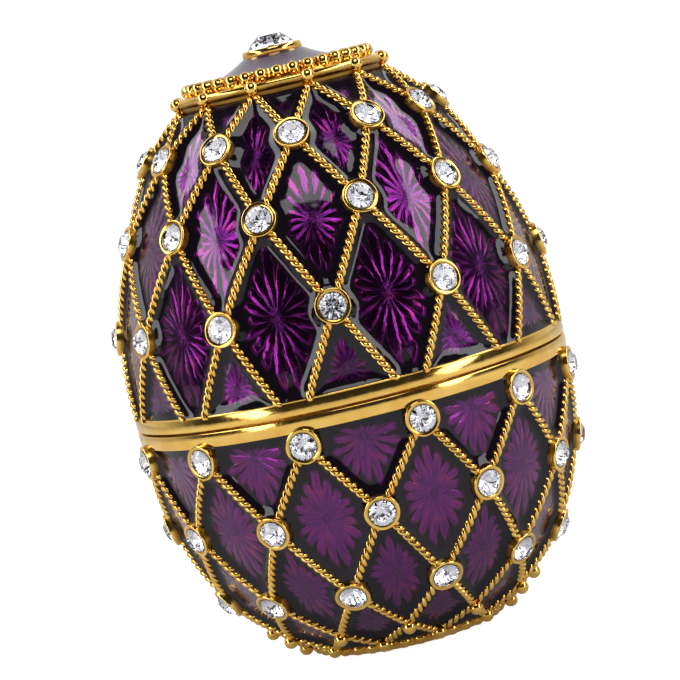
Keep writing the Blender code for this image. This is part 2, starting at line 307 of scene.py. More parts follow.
enamel = {
    "rays": 17,
    "star": "#54155A",
    "starEdge": "#7E1E74",
    "starHeart": "#441A58",
    "blush": "#8A2858",
    "ground": "#150E18",
    "rayHeight": 0.1,  # mm, depth of the engine-turned rays under the enamel
    "rayBend": 0.15,  # of the step from ray to ray, how far a ray wanders from straight
    "squash": 0.82,  # the star is taller than wide
    "borderWidth": 0.95,  # mm of dark enamel between the rope's middle and the ends of the rays
    "unevenReach": 0.38,  # mm, how much the rays differ in length
    "rayEdge": (0.82, 1.02),  # on the way from a ray's middle to the next gap's, its soft side
    "rayEnd": (-0.1, 0.45),  # mm over which a ray's end comes up out of the dark
    "gapOpens": (0.32, 0.88, -0.25, 0.4),  # on the way from heart to rope, and how much it takes there
    "heartFade": (0.7, 3.0),  # mm from the heart, where its bluer tone gives way
    "grain": (5.0, 0.7),  # scratches of the engraving tool, across and along a ray
    "ringRadius": 0.38,  # mm, the cut ring round the star's heart
    "waveHeight": 0.05,  # mm, the soft waves and pinholes of the fired surface
    "wavesPerMm": 0.5,
    "pinholesPerMm": 0.42,
    "coat": 0.7,
    "coatRoughness": 0.07,
    "ior": 1.52,
    "capDark": "#24152E",
    "capLight": "#4A2450",
}


def guillocheEnamel():
    # Translucent purple enamel over an engine-turned star, fired and polished: a wet, glassy top
    # coat, rays of metal that flash underneath it, and near black where the enamel is deepest.
    material, tree = newMaterial("translucentEnamelOverGuilloche")
    place = addNode(tree, "Attribute", {"attribute_name": "cellPlace"})
    tone = addNode(tree, "Attribute", {"attribute_name": "cellTone"}).outputs["Fac"]
    x, y, toRope = addNode(tree, "SeparateXYZ", {}, [place.outputs["Vector"]]).outputs
    tall = addNode(tree, "Math", {"operation": "MULTIPLY"}, [y, enamel["squash"]])
    flat = addNode(tree, "CombineXYZ", {}, [x, tall, 0.0])
    radius = addNode(tree, "VectorMath", {"operation": "LENGTH"}, [flat]).outputs["Value"]
    cellNumber = addNode(tree, "Math", {"operation": "MULTIPLY"}, [tone, 50.0])
    shifted = addNode(tree, "CombineXYZ", {}, [x, y, cellNumber])  # so no two cells are alike
    wander = addNode(tree, "TexNoise", {}, {"Vector": shifted, "Scale": 0.55, "Detail": 2.0})
    bend = addNode(tree, "MapRange", {}, [wander, 0.2, 0.8, -enamel["rayBend"], enamel["rayBend"]])
    bearing = addNode(tree, "Math", {"operation": "ARCTAN2"}, [x, tall])
    ray = addNode(tree, "Math", {"operation": "MULTIPLY_ADD"}, [
        bearing, enamel["rays"] / (2 * math.pi), bend,
    ])
    folded = addNode(tree, "Math", {"operation": "PINGPONG"}, [ray, 0.5])
    offMiddle = addNode(tree, "Math", {"operation": "MULTIPLY"}, [folded, 2.0])  # 0 on a ray, 1 in a gap
    number = addNode(tree, "Math", {"operation": "ROUND"}, [ray])
    seed = addNode(tree, "Math", {"operation": "MULTIPLY_ADD"}, [tone, 91.0, number])
    chance = addNode(tree, "TexWhiteNoise", {"noise_dimensions": "1D"}, {"W": seed}).outputs["Value"]

    # the star: narrow at the heart, a blunt end to each ray, dark gaps that open outwards
    whole = addNode(tree, "Math", {"operation": "ADD"}, [radius, toRope])
    outward = addNode(tree, "Math", {"operation": "DIVIDE"}, [radius, whole])  # 0 at the heart, 1 at the rope
    gap = addNode(tree, "MapRange", smooth, [outward, *enamel["gapOpens"]])
    edge = addNode(tree, "Math", {"operation": "ADD"}, [offMiddle, gap])
    inRay = addNode(tree, "MapRange", smooth, [edge, *enamel["rayEdge"], 1.0, 0.0])
    blunt = addNode(tree, "Math", {"operation": "POWER"}, [offMiddle, 2.0])
    reach = addNode(tree, "Math", {"operation": "MULTIPLY_ADD"}, [chance, 1.4, blunt])
    reach = addNode(tree, "Math", {"operation": "MULTIPLY_ADD"}, [
        reach, enamel["unevenReach"], enamel["borderWidth"],
    ])
    beyond = addNode(tree, "Math", {"operation": "SUBTRACT"}, [toRope, reach])
    inStar = addNode(tree, "MapRange", smooth, [beyond, *enamel["rayEnd"], 0.0, 1.0])
    star = addNode(tree, "Math", {"operation": "MULTIPLY"}, [inRay, inStar])

    # its colours: bluer at the heart, brighter along some rays, a warm blush here and there
    acrossGrain = addNode(tree, "Math", {"operation": "MULTIPLY"}, [ray, enamel["grain"][0]])
    alongGrain = addNode(tree, "Math", {"operation": "MULTIPLY"}, [radius, enamel["grain"][1]])
    grainPlace = addNode(tree, "CombineXYZ", {}, [acrossGrain, alongGrain, tone])
    grain = addNode(tree, "TexNoise", {}, {"Vector": grainPlace, "Scale": 1.0, "Detail": 2.0})
    fade = addNode(tree, "MapRange", smooth, [radius, *enamel["heartFade"], 0.0, 1.0])
    purple = addNode(tree, "Mix", ofColours, {
        "Factor": fade, "A": linear(enamel["starHeart"]), "B": linear(enamel["star"]),
    })
    lively = addNode(tree, "MapRange", {}, [grain, 0.42, 0.68, 0.0, 0.75])
    purple = addNode(tree, "Mix", ofColours, {
        "Factor": lively, "A": purple.outputs["Result"], "B": linear(enamel["starEdge"]),
    })
    warm = addNode(tree, "MapRange", {}, [wander, 0.55, 0.75, 0.0, 0.5])
    purple = addNode(tree, "Mix", ofColours, {
        "Factor": warm, "A": purple.outputs["Result"], "B": linear(enamel["blush"]),
    })
    ringSide = addNode(tree, "Math", {"operation": "SUBTRACT"}, [radius, enamel["ringRadius"]])
    ringSide = addNode(tree, "Math", {"operation": "ABSOLUTE"}, [ringSide])
    ring = addNode(tree, "MapRange", smooth, [ringSide, 0.02, 0.16, 0.6, 1.0])
    shown = addNode(tree, "Math", {"operation": "MULTIPLY"}, [star, ring])
    colour = addNode(tree, "Mix", ofColours, {
        "Factor": shown, "A": linear(enamel["ground"]), "B": purple.outputs["Result"],
    })

    # the engraving under the coat, and the coat's own waves and pinholes
    ridge = addNode(tree, "Math", {"operation": "SUBTRACT"}, [1.4, blunt])
    ridge = addNode(tree, "Math", {"operation": "MULTIPLY"}, [ridge, fade])
    relief = addNode(tree, "Math", {"operation": "MULTIPLY_ADD"}, [grain, 0.3, ridge])
    relief = addNode(tree, "Math", {"operation": "MULTIPLY"}, [relief, star])
    engraved = addNode(tree, "Bump", {}, {
        "Strength": 1.0, "Distance": enamel["rayHeight"] * mm, "Height": relief,
    })
    pool = addNode(tree, "TexNoise", {}, {
        "Vector": shifted, "Scale": enamel["wavesPerMm"], "Detail": 1.0,
    })
    wavy = addNode(tree, "Bump", {}, {
        "Strength": 1.0, "Distance": enamel["waveHeight"] * mm, "Height": pool,
    })
    cells = addNode(tree, "TexVoronoi", {}, {"Vector": shifted, "Scale": enamel["pinholesPerMm"]})
    pinhole = addNode(tree, "MapRange", smooth, [cells.outputs["Distance"], 0.0, 0.06, 0.0, 1.0])
    pitted = addNode(tree, "Bump", {}, {
        "Strength": 1.0, "Distance": enamel["waveHeight"] * mm, "Height": pinhole, "Normal": wavy,
    })
    shader = addNode(tree, "BsdfPrincipled", {}, {
        "Base Color": colour.outputs["Result"], "Metallic": star, "Roughness": 0.14,
        "Normal": engraved, "Specular IOR Level": 0.0, "Coat Weight": enamel["coat"],
        "Coat Roughness": enamel["coatRoughness"], "Coat IOR": enamel["ior"], "Coat Normal": pitted,
    })
    addNode(tree, "OutputMaterial", {}, {"Surface": shader})
    return material


def plainEnamel():
    # The same enamel without the star, laid over the smooth cap: deep purple under a glassy coat.
    material, tree = newMaterial("polishedPlainEnamel")
    depth = addNode(tree, "TexNoise", {}, {"Vector": placeInMm(tree), "Scale": 0.4, "Detail": 3.0})
    colour = addNode(tree, "Mix", ofColours, {
        "Factor": depth, "A": linear(enamel["capDark"]), "B": linear(enamel["capLight"]),
    })
    wavy = addNode(tree, "Bump", {}, {"Strength": 1.0, "Distance": 0.04 * mm, "Height": depth})
    shader = addNode(tree, "BsdfPrincipled", {}, {
        "Base Color": colour.outputs["Result"], "Roughness": 0.35, "IOR": enamel["ior"],
        "Coat Weight": 1.0, "Coat Roughness": 0.04, "Coat IOR": enamel["ior"], "Coat Normal": wavy,
    })
    addNode(tree, "OutputMaterial", {}, {"Surface": shader})
    return material


def cutCrystal():
    # Lead crystal, pressed and polished: clear with crisp facets.
    material, tree = newMaterial("polishedLeadCrystal")
    shader = addNode(tree, "BsdfPrincipled", {}, {
        "Base Color": linear("#FDFDFF"), "Roughness": 0.0, "IOR": 1.57, "Transmission Weight": 1.0,
    })
    addNode(tree, "OutputMaterial", {}, {"Surface": shader})
    return material


def mirrorFoil():
    # Silver foil behind the stones' pavilions, which sends the light back out through the crown.
    material, tree = newMaterial("silveredFoilBack")
    shader = addNode(tree, "BsdfPrincipled", {}, {
        "Base Color": linear("#F4F4F8"), "Metallic": 1.0, "Roughness": 0.03,
    })
    addNode(tree, "OutputMaterial", {}, {"Surface": shader})
    return material


starEnamel = guillocheEnamel()
capEnamel = plainEnamel()
crystalFinish = cutCrystal()
foilFinish = mirrorFoil()
print("materials made")

# Ropes: two round strands wound to the left

rope = {
    "strand": 0.275,
    "offset": 0.262,
    "lift": 0.16,
    "pitch": 1.86,
    "perTurn": 10,
    "sides": 7,
    "groove": 0.42,  # mm from the rope's middle, where the painted shade between the strands begins
    "grooveFade": 0.22,
    "trim": {"cup": 1.75, "ball": 0.3, "edge": 0.0},  # mm that a rope stops short of what it meets
    "bandHalfAngle": 3.87,  # the lid's last ropes meet the band in pairs, this far from their middle
}


def kindOf(spot):
    # what stands at a corner of the lattice: a stone's cup, a ball, or nothing but an edge
    name = str(spot)
    return "cup" if name.startswith("row") else "ball" if name.endswith("Balls") else "edge"


def ropeRun(start, end, trimStart, trimEnd):
    share = np.linspace(0, 1, 200)
    walked = np.linalg.norm(np.diff(eggFrame(*between(start, end, share))[0], axis=0), axis=1)
    walked = np.concatenate([[0], np.cumsum(walked)])
    length = walked[-1] - trimStart - trimEnd
    count = int(length / rope["pitch"] * rope["perTurn"]) + 2
    along = np.linspace(trimStart, walked[-1] - trimEnd, count)
    line, _, _, normal = eggFrame(*between(start, end, np.interp(along, walked, share)))
    line = line + rope["lift"] * normal
    side = np.cross(unit(np.gradient(line, axis=0)), normal)
    spokes = np.linspace(0, 2 * math.pi, rope["sides"], endpoint=False)[None, :, None]
    strands = []
    for phase in (0, math.pi):
        turn = (phase - 2 * math.pi * along / rope["pitch"])[:, None]
        out = np.cos(turn) * normal + np.sin(turn) * side
        middle = line + rope["offset"] * out
        tilt = np.cross(unit(np.gradient(middle, axis=0)), out)
        circle = np.cos(spokes) * out[:, None] + np.sin(spokes) * tilt[:, None]
        tube = middle[:, None] + rope["strand"] * circle
        deep = np.linalg.norm(tube - line[:, None], axis=2)
        # painted shade in the groove between the strands, kept as the recess mark
        recess = np.clip((rope["groove"] - deep) / rope["grooveFade"], 0, 1).ravel()
        rings = np.arange(tube[..., 0].size).reshape(tube.shape[:2])
        ends = [
            (ring[0], ring[i], ring[i + 1])
            for ring in (rings[0], rings[-1])
            for i in range(1, rope["sides"] - 1)
        ]
        strands.append(shapeOf(tube, bridge(rings), ends, recess=recess))
    return joined(strands)


def ropeTier(upper, lower):
    # from every stone of the upper row to the stones on both sides of it in the lower row
    zUpper, first = rows[upper]
    zLower = rows[lower][0]
    halfAngle = step / 2 - (rope["bandHalfAngle"] if lower == "bandTop" else 0)
    trims = [rope["trim"][kindOf(spot)] for spot in (upper, lower)]
    pair = [ropeRun((zUpper, 0), (zLower, way * halfAngle), *trims) for way in (-1, 1)]
    return allRound(joined(pair), first)


lattice = {
    "lid": ["topBalls", "row1", "row2", "row3", "bandTop"],
    "base": ["row4", "row5", "row6", "underBalls", "footBalls"],
}
for half, spots in lattice.items():
    ropes = joined([ropeTier(upper, lower) for upper, lower in zip(spots, spots[1:])])
    makePiece(f"{half}Ropes", ropes, [polishedGold], [f"{half}_shell"], 60)
    print(half, "ropes made:", 2 * len(ropes["quads"]), "triangles")

# Set stones

bezel = {
    "foot": 2.07,
    "wall": 2.03,
    "inside": 1.37,
    "root": -0.6,
    "rimTop": 1.0,
    "roll": 0.15,  # the rim is rolled over the stone's edge
    "uneven": (0.012, 0.008),  # how far the hand-set rims are out of round, as a share of the radius
    "sides": 40,
}
# a stone's girdle and table are radii, and its height is that of the girdle over the egg or the ground
stone = {"girdle": 1.5, "table": 0.8, "crown": 0.6, "pavilion": 1.32, "height": 0.96}
crownStone = {"girdle": 2.7, "table": 1.45, "crown": 1.3, "pavilion": 2.3, "height": 70.2}


def bezelShape():
    wall, top, inside = bezel["wall"], bezel["rimTop"], bezel["inside"]
    profile = [(inside, bezel["root"]), (bezel["foot"], bezel["root"]), (bezel["foot"], 0.06)]
    profile += [(wall, 0.3), (wall - 0.01, top - 0.16)]
    profile += arc((wall - 0.16, top - bezel["roll"]), bezel["roll"], 0, 100, 5)
    profile += [(inside + 0.24, top - 0.05), (inside + 0.06, top - 0.19), (inside, top - 0.3)]
    # painted shade: darkest at the bezel's foot and inside, round the stone's point, and half as dark on the
    # inner chamfer
    paintedShade = []
    for radius, z in profile:
        deep = z < 0.4 or radius < inside + 0.02
        paintedShade.append(0.8 if deep else 0.35 if radius < inside + 0.25 else 0)
    shape = lathe(profile, bezel["sides"], paintedShade)
    x, y, z = shape["points"].T
    turn = np.arctan2(y, x)
    wide, narrow = bezel["uneven"]
    outOfRound = wide * np.sin(3 * turn + 1) + narrow * np.sin(5 * turn)
    lumps = 1 + outOfRound * (np.hypot(x, y) > inside + 0.1)
    shape["points"] = np.stack([x * lumps, y * lumps, z], -1)
    return shape


def stoneRows(names, shape):
    placed = []
    for name in names:
        z, first = rows[name]
        for number in range(perRow):
            placed.append(onEgg(shape, z, first + step * number, 0.0, 47.0 * number + z))
    return joined(placed)


setCup = bezelShape()
for half, spots in lattice.items():
    cups = stoneRows([spot for spot in spots if kindOf(spot) == "cup"], setCup)
    makePiece(f"{half}Bezels", cups, [polishedGold], [f"{half}_shell"], 50)


def brilliantMesh(name, cut, folds=8):
    # round brilliant cut: table, star and kite facets above, main and half facets below
    girdle, table, rise, depth = (cut[size] for size in ("girdle", "table", "crown", "pavilion"))
    thin = 0.05 * rise  # half the thickness of the girdle
    spots = [(table, rise, 0.5), ((table + girdle) / 2 * 1.02, rise * 0.52, 0.0)]
    spots += [(girdle, thin, 0.0), (girdle, thin, 0.5), (girdle, -thin, 0.0), (girdle, -thin, 0.5)]
    spots += [(girdle * 0.25, -depth * 0.775, 0.5)]
    bm = bmesh.new()
    for radius, height, shift in spots:
        for number in range(folds):
            turn = 2 * math.pi / folds * (number + shift)
            bm.verts.new((radius * math.sin(turn) * mm, -radius * math.cos(turn) * mm, height * mm))
    bm.verts.new((0, 0, -depth * mm))
    bmesh.ops.convex_hull(bm, input=bm.verts)
    bmesh.ops.dissolve_limit(bm, angle_limit=math.radians(0.5), verts=bm.verts, edges=bm.edges)
    mesh = bpy.data.meshes.new(name)
    bm.to_mesh(mesh)
    bm.free()
    mesh.materials.append(crystalFinish)
    mesh.materials.append(foilFinish)
    foiled = [int(face.center.z < -thin * mm) for face in mesh.polygons]
    mesh.polygons.foreach_set("material_index", foiled)
    return mesh


def setStone(name, mesh, world, stands):
    piece = bpy.data.objects.new(name, mesh)
    bpy.context.scene.collection.objects.link(piece)
    piece.matrix_world = world
    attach(piece, "root")
    if stands:
        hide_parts(stands)


brilliant = brilliantMesh("brilliant", stone)
for rowNumber in range(1, 7):
    z, first = rows[f"row{rowNumber}"]
    for number in range(perRow):
        place, across, up, normal = (Vector(v) for v in eggFrame(z, first + step * number))
        axes = Matrix((across, up, normal)).transposed() @ Matrix.Rotation(0.9 * number + rowNumber, 3, "Z")
        world = Matrix.Translation((place + normal * stone["height"]) * mm) @ axes.to_4x4()
        label = f"row{rowNumber}_{number + 1:02d}"
        setStone(f"crystal.{label}", brilliant, world, f"crystal_{label}" if rowNumber < 5 else None)

onTop = Matrix.Translation((0, 0, crownStone["height"] * mm))
setStone("crystal.crown", brilliantMesh("crownBrilliant", crownStone), onTop, "crown_crystal")
print("stones set")

# Enamel cells. A cell's corners go from its top down, each with half the cell's width there in
# degrees. A corner is a row's name, or a bare height where no cup or ball stands in the enamel.

cell = {
    "across": 36,
    "perMm": 2.9,  # grid lines per mm of height
    "trims": (1.25, 1.25),  # mm that a cell stops short of its top and bottom corners
    "reach": {"cup": 2.12, "ball": 0.7},
    "atMetal": 0.45,  # mm that is left where the enamel meets a cup or ball, as beside a rope
    "atEdge": 0.4,
    "level": -0.34,  # mm over the egg, in the middle of a cell
    "meniscus": 0.66,  # and how much higher the enamel climbs where it wets the metal
    "meniscusWidth": 0.82,
    "skirt": 0.75,
    "stoneRadius": 1.75,
    "underStone": -1.1,  # kept clear of the stones' points
}


def halfWidth(stations, z):
    width = np.zeros_like(z)
    for upper, lower in zip(stations, stations[1:]):
        inside = (z <= upper[0] + 1e-9) & (z >= lower[0] - 1e-9)
        width[inside] = between(upper, lower, (upper[0] - z[inside]) / (upper[0] - lower[0]))[1]
    return width


def cellHeights(stations, trims):
    # heights of the grid's lines, closer together near the corners
    zTop, zBottom = stations[0][0] - trims[0], stations[-1][0] + trims[1]
    corners = [zTop] + [z for z, _ in stations[1:-1] if zBottom < z < zTop] + [zBottom]
    heights = [zTop]
    for high, low in zip(corners, corners[1:]):
        count = max(2, int((high - low) * cell["perMm"]))
        heights += list(high - (high - low) * (1 - np.cos(np.pi * np.arange(1, count + 1) / count)) / 2)
    return np.array(heights)


def toLine(points, line):
    return np.linalg.norm(points[:, None] - line[None], axis=2).min(1)


def cellGaps(points, stations, metal, edges):
    # from every point to each rope, cup, ball and edge round it, and the points under a stone
    share = np.linspace(0, 1, 120)
    gaps = []
    for upper, lower in zip(stations, stations[1:]):
        if upper[1] != lower[1]:
            for way in (-1, 1):
                run = between((upper[0], way * upper[1]), (lower[0], way * lower[1]), share)
                gaps.append(toLine(points, eggFrame(*run)[0]))
    underStone = np.zeros(len(points), bool)
    for z, angle, kind in metal:
        toCentre = np.linalg.norm(points - eggFrame(z, angle)[0], axis=1)
        gaps.append(toCentre - cell["reach"][kind] + cell["atMetal"])
        if kind == "cup":
            underStone |= toCentre < cell["stoneRadius"]
    for z in edges:
        gaps.append(np.abs(points[:, 2] - z) + cell["atEdge"])
    return np.maximum(gaps, 0), underStone


def enamelCell(stations, heart, metal, edges, trims):
    heights = cellHeights(stations, trims)
    spread = np.sin(np.pi / 2 * np.linspace(-1, 1, cell["across"] + 1))
    angle = halfWidth(stations, heights)[:, None] * spread
    place, _, _, normal = eggFrame(heights[:, None], angle)
    place, normal = place.reshape(-1, 3), normal.reshape(-1, 3)
    gaps, underStone = cellGaps(place, stations, metal, edges)
    calm = np.prod(1 - np.exp(-((gaps / cell["meniscusWidth"]) ** 2)), axis=0)
    lift = np.where(underStone, cell["underStone"], cell["level"] + cell["meniscus"] * (1 - calm))
    top = place + normal * lift[:, None]
    inMetal = place - normal * cell["skirt"]

    # a closed solid: the top, a skirt round it, and a fan under it that stays within the wall
    count, columns = angle.shape
    index = np.arange(count * columns).reshape(count, columns)
    grid = [index[:-1, :-1], index[:-1, 1:], index[1:, 1:], index[1:, :-1]]
    rim = np.concatenate([index[0, :-1], index[:-1, -1], index[-1, :0:-1], index[:0:-1, 0]])
    under = len(top) + np.arange(len(rim))
    skirt = np.stack([rim, np.roll(rim, -1), np.roll(under, -1), under], -1)
    pole = len(top) + len(rim)
    fan = np.stack([np.full(len(rim), pole), under, np.roll(under, -1)], -1)
    points = np.vstack([top, inMetal[rim], inMetal[index[count // 2, columns // 2]]])
    quads = np.vstack([np.stack(grid, -1).reshape(-1, 4), skirt])

    # where each point lies in its star: mm across and up from the heart, and mm to the metal
    middleLine = eggFrame(heights, np.zeros_like(heights))[0]
    slant = np.concatenate([[0], np.cumsum(np.linalg.norm(np.diff(middleLine, axis=0), axis=1))])
    heartAt = np.interp(-heart, -heights, slant)
    acrossMm = np.hypot(place[:, 0], place[:, 1]) * np.radians(angle.ravel())
    marks = np.stack([acrossMm, np.repeat(heartAt - slant, columns), gaps.min(0)], -1)
    marks = np.vstack([marks, marks[rim], [0, 0, 0]])
    return shapeOf(points, quads, fan, cellPlace=marks)


def cellsRound(kind, seed):
    stations, metal = [], []
    for spot, half in kind["corners"]:
        z = rows[spot][0] if spot in rows else spot
        stations.append((z, half))
        if half == 0:
            first = rows[spot][1]
        if kindOf(spot) != "edge":
            metal += [(z, way * half, kindOf(spot)) for way in ((-1, 1) if half else (1,))]
    trims = kind.get("trims", cell["trims"])
    shape = enamelCell(stations, kind["heart"], metal, kind.get("edges", ()), trims)
    random = np.random.default_rng(seed)
    copies = []
    for number in range(perRow):
        copy = turned(shape, first + step * number)
        marks = {**shape["marks"], "cellTone": np.full(len(shape["points"]), random.random())}
        copies.append({**copy, "marks": marks})
    return joined(copies)


side = step // 2
pairWidth = rope["bandHalfAngle"]
lidCells = [
    {
        "corners": [("rim", side), (65.1, side), ("row1", 0)],
        "heart": 64.0,
        "edges": [64.7],
        "trims": (0, 1.25),
    },
    {"corners": [("topBalls", 0), ("row1", side), ("row2", 0)], "heart": 58.6, "trims": (0.45, 1.25)},
    {"corners": [("row1", 0), ("row2", side), ("row3", 0)], "heart": 50.8},
    {
        "corners": [("row2", 0), ("row3", side), ("bandTop", pairWidth)],
        "heart": 41.2,
        "edges": [31.9],
        "trims": (1.25, 0),
    },
    {
        "corners": [("row3", 0), ("bandTop", side - pairWidth)],
        "heart": 34.3,
        "edges": [32.0],
        "trims": (1.25, 0),
    },
]
baseCells = [
    {
        "corners": [(28.9, side), ("row4", side), ("row5", 0)],
        "heart": 26.6,
        "edges": [28.6],
        "trims": (0, 1.25),
    },
    {"corners": [("row4", 0), ("row5", side), ("row6", 0)], "heart": 18.3},
    {"corners": [("row5", 0), ("row6", side), ("underBalls", 0)], "heart": 10.2, "trims": (1.25, 0.3)},
    {"corners": [("row6", 0), ("underBalls", side), ("footBalls", 0)], "heart": 4.8, "trims": (1.0, 0.1)},
    {
        "corners": [("underBalls", 0), (1.45, side), (0.9, side)],
        "heart": 2.0,
        "edges": [1.2],
        "trims": (0.15, 0),
    },
]
for half, kinds, firstSeed in (("lid", lidCells, 10), ("base", baseCells, 20)):
    cells = joined([cellsRound(kind, firstSeed + i) for i, kind in enumerate(kinds)])
    makePiece(f"{half}Enamel", cells, [starEnamel], [f"{half}_shell"], 60)
print("enamel laid")

# Lid and base castings under the enamel, with the band and the inside

casting = {
    "under": 0.6,  # the metal lies this far under the egg's surface in the cells
    "lidTop": 66.2,
    "lidTopRadius": 11.2,
    "ceiling": 65.2,
    "floor": 2.0,
    "collar": 26.2,
    "lipOutside": 23.44,
    "lipInside": 22.64,
    "lipTop": 31.47,
    "lipRound": 0.12,
    "sides": 120,
    "footRing": [  # radius and height, from the outside to the middle of the underside
        (11.3, 1.35), (11.2, 1.2), (11.15, 0.5), (10.95, 0.12), (10.7, 0.0),
        (8.8, 0.0), (8.6, 0.08), (8.1, 0.55), (7.9, 0.6), (0, 0.6),
    ],
}
band = {
    "radius": 25.56,
    "top": 32.12,
    "bottom": 28.52,
    "edge": 0.12,  # how far the outer edges are rounded
    "lidSeam": 30.47,
    "lidSeamEdge": 0.08,
    "lidTilts": (14, -4),  # degrees, of the face's top and bottom edge
    "baseSeam": 30.17,  # just under the lid's seam, as the halves are two castings
    "baseSeamEdge": 0.1,
    "baseTilts": (9, -15),
}


def bandFace(zTop, zBottom, tiltTop, tiltBottom):
    # slightly domed face between two heights
    dome = (zTop - zBottom) / (math.sin(math.radians(tiltTop)) - math.sin(math.radians(tiltBottom)))
    centre = (band["radius"] - dome, zTop - dome * math.sin(math.radians(tiltTop)))
    return arc(centre, dome, tiltTop, tiltBottom, 10)


def wallPoints(zFrom, zTo, count, under=0.0, wall=0.0):
    # along the egg, a little under its surface or on an egg that is smaller by the wall
    z = zFrom + (zTo - zFrom) * np.linspace(0, 1, count)
    return list(zip(eggRadius(z, wall) - under, z))


def lidCasting():
    top, seam, edge, seamEdge = (band[size] for size in ("top", "lidSeam", "edge", "lidSeamEdge"))
    face = bandFace(top - 0.14, seam + seamEdge, *band["lidTilts"])
    faceTop, faceBottom = face[0][0], face[-1][0]
    bore = egg["radius"] - egg["wall"]
    lidTop, lidTopRadius = casting["lidTop"], casting["lidTopRadius"]
    outside = [(0, lidTop), (lidTopRadius, lidTop), (lidTopRadius, lidTop - 0.8)]
    outside += wallPoints(65.0, top - 0.1, 60, under=casting["under"])
    outside += [(faceTop - 0.42, top - 0.02)]
    outside += arc((faceTop - 0.1, top - edge), edge, 110, 10, 6)
    outside += face
    outside += arc((faceBottom - seamEdge, seam + seamEdge), seamEdge, -10, -90, 4)
    inside = [(bore + 0.15, seam), (bore, seam + 0.15)]
    inside += wallPoints(egg["widest"], casting["ceiling"], 40, wall=egg["wall"])
    return lathe([*outside, *inside, (0, casting["ceiling"])], casting["sides"])


def baseCasting():
    seam, bottom, edge, seamEdge = (band[size] for size in ("baseSeam", "bottom", "edge", "baseSeamEdge"))
    face = bandFace(seam - seamEdge, bottom + edge, *band["baseTilts"])
    faceTop, faceBottom = face[0][0], face[-1][0]
    outside = [(casting["lipOutside"], seam), (faceTop - 0.3, seam)]
    outside += arc((faceTop - seamEdge, seam - seamEdge), seamEdge, 90, 5, 5)
    outside += face
    outside += arc((faceBottom - edge, bottom + edge), edge, -15, -90, 5)
    outside += wallPoints(bottom - 0.05, 1.4, 60, under=casting["under"])
    lipInside, lipOutside, lipTop = casting["lipInside"], casting["lipOutside"], casting["lipTop"]
    lipRound = casting["lipRound"]
    inside = [(0, casting["floor"])]
    inside += wallPoints(casting["floor"], casting["collar"] - 1.1, 50, wall=egg["wall"])
    inside += [(lipInside, casting["collar"]), (lipInside, lipTop - 0.1)]
    inside += arc((lipInside + lipRound, lipTop - lipRound), lipRound, 180, 90, 4)
    inside += arc((lipOutside - lipRound, lipTop - lipRound), lipRound, 90, 0, 4)
    return lathe([*inside, *outside, *casting["footRing"]], casting["sides"])


def insideFinish(face):
    # 1 for the satin gold of the hollow and of the recess under the foot, 0 for the polished outside
    radius, z = math.hypot(face.center.x, face.center.y) / mm, face.center.z / mm
    underneath = z < 0.7 and radius < 8.5
    return int(radius < float(eggRadius(z)) - 0.8 or underneath)


for half, shape in (("lid", lidCasting()), ("base", baseCasting())):
    golds = [polishedGold, satinGold]
    makePiece(f"{half}Casting", shape, golds, [f"{half}_shell"], 40, insideFinish)
print("castings turned")

# Top of the lid: rim bar, balls, bead ring, cap and crown cup

ball = {"radius": 0.82, "sides": 20, "liftAtRim": 1.15, "liftUnder": 0.8, "liftAtFoot": 0.6}
crown = {
    "barRadius": 12.65,
    "barInside": 10.4,
    "barHalf": 0.78,  # half the rim bar's height
    "barPaintedShade": [0.0] * 9 + [0.3, 0.8, 1.0] + [0.75] * 6 + [0.85],  # painted shade: bright above, browner underneath where shade falls
    "ringRadius": 10.6,
    "ringHeight": 67.2,
    "beads": 36,
    "bead": 0.82,
    "capBottom": 66.1,
    "capRise": 2.35,
    "capPower": 1.9,
    "cupRadius": 3.5,
    "cupTop": 70.15,
    "sides": 144,
}


def bead(radius, width=1.0, sides=16):
    # round bead with its axis along Z, width times as long as it is thick
    turns = np.radians(np.linspace(75, -75, 10))
    profile = [(radius * math.cos(t), radius * width * math.sin(t)) for t in turns]
    return lathe([(0, radius * width), *profile, (0, -radius * width)], sides)


def lying(shape):
    x, y, z = shape["points"].T
    return {**shape, "points": np.stack([z, y, -x], -1)}


def moved(shape, x, y, z):
    return {**shape, "points": shape["points"] + np.array([x, y, z])}


def barSection():
    # a bright round edge above, a groove, and a wider round that tucks in under it
    r, z, h, inside = crown["barRadius"], rows["rim"][0], crown["barHalf"], crown["barInside"]
    outside = arc((r - 0.36, z + h - 0.16), 0.36, 90, -15, 8)
    outside += [(r - 0.1, z + 0.16), (r - 0.26, z + 0.05)]
    outside += arc((r - 0.86, z - h + 0.5), 0.5, 15, -90, 5)
    return [(inside, z + h + 0.2), *outside, (inside, z - h)]


def beadRing():
    z = crown["ringHeight"]
    collar = [(9.9, z - 0.9), (10.95, z - 0.9), (10.98, z - 0.1)]
    collar += [(10.85, z + 0.3), (10.5, z + 0.5), (9.9, z + 0.5)]
    # painted shade: the collar under the beads fairly dark, the reels between them a little
    reel = lathe([(0, 0.13), (0.6, 0.13), (0.7, 0), (0.6, -0.13), (0, -0.13)], 16, [0.1] * 5)
    strung = [moved(lying(shape), 0, -crown["ringRadius"], z) for shape in (bead(crown["bead"]), reel)]
    shapes = [lathe(collar, crown["sides"], [0.45] * 6)]
    for number in range(crown["beads"]):
        for shape, place in zip(strung, (0, 0.5)):  # a reel halfway between each two beads
            shapes.append(turned(shape, 360 * (number + place) / crown["beads"]))
    return joined(shapes)


def crownCup():
    r, top = crown["cupRadius"], crown["cupTop"]
    profile = [(2.6, top - 1.1), (r - 0.1, top - 1.0), (r, top - 0.72)]
    profile += arc((r - 0.3, top - 0.3), 0.3, 0, 90, 6)
    profile += [(2.78, top - 0.05), (2.6, top - 0.2), (2.58, top - 0.6)]
    return lathe(profile, 64)


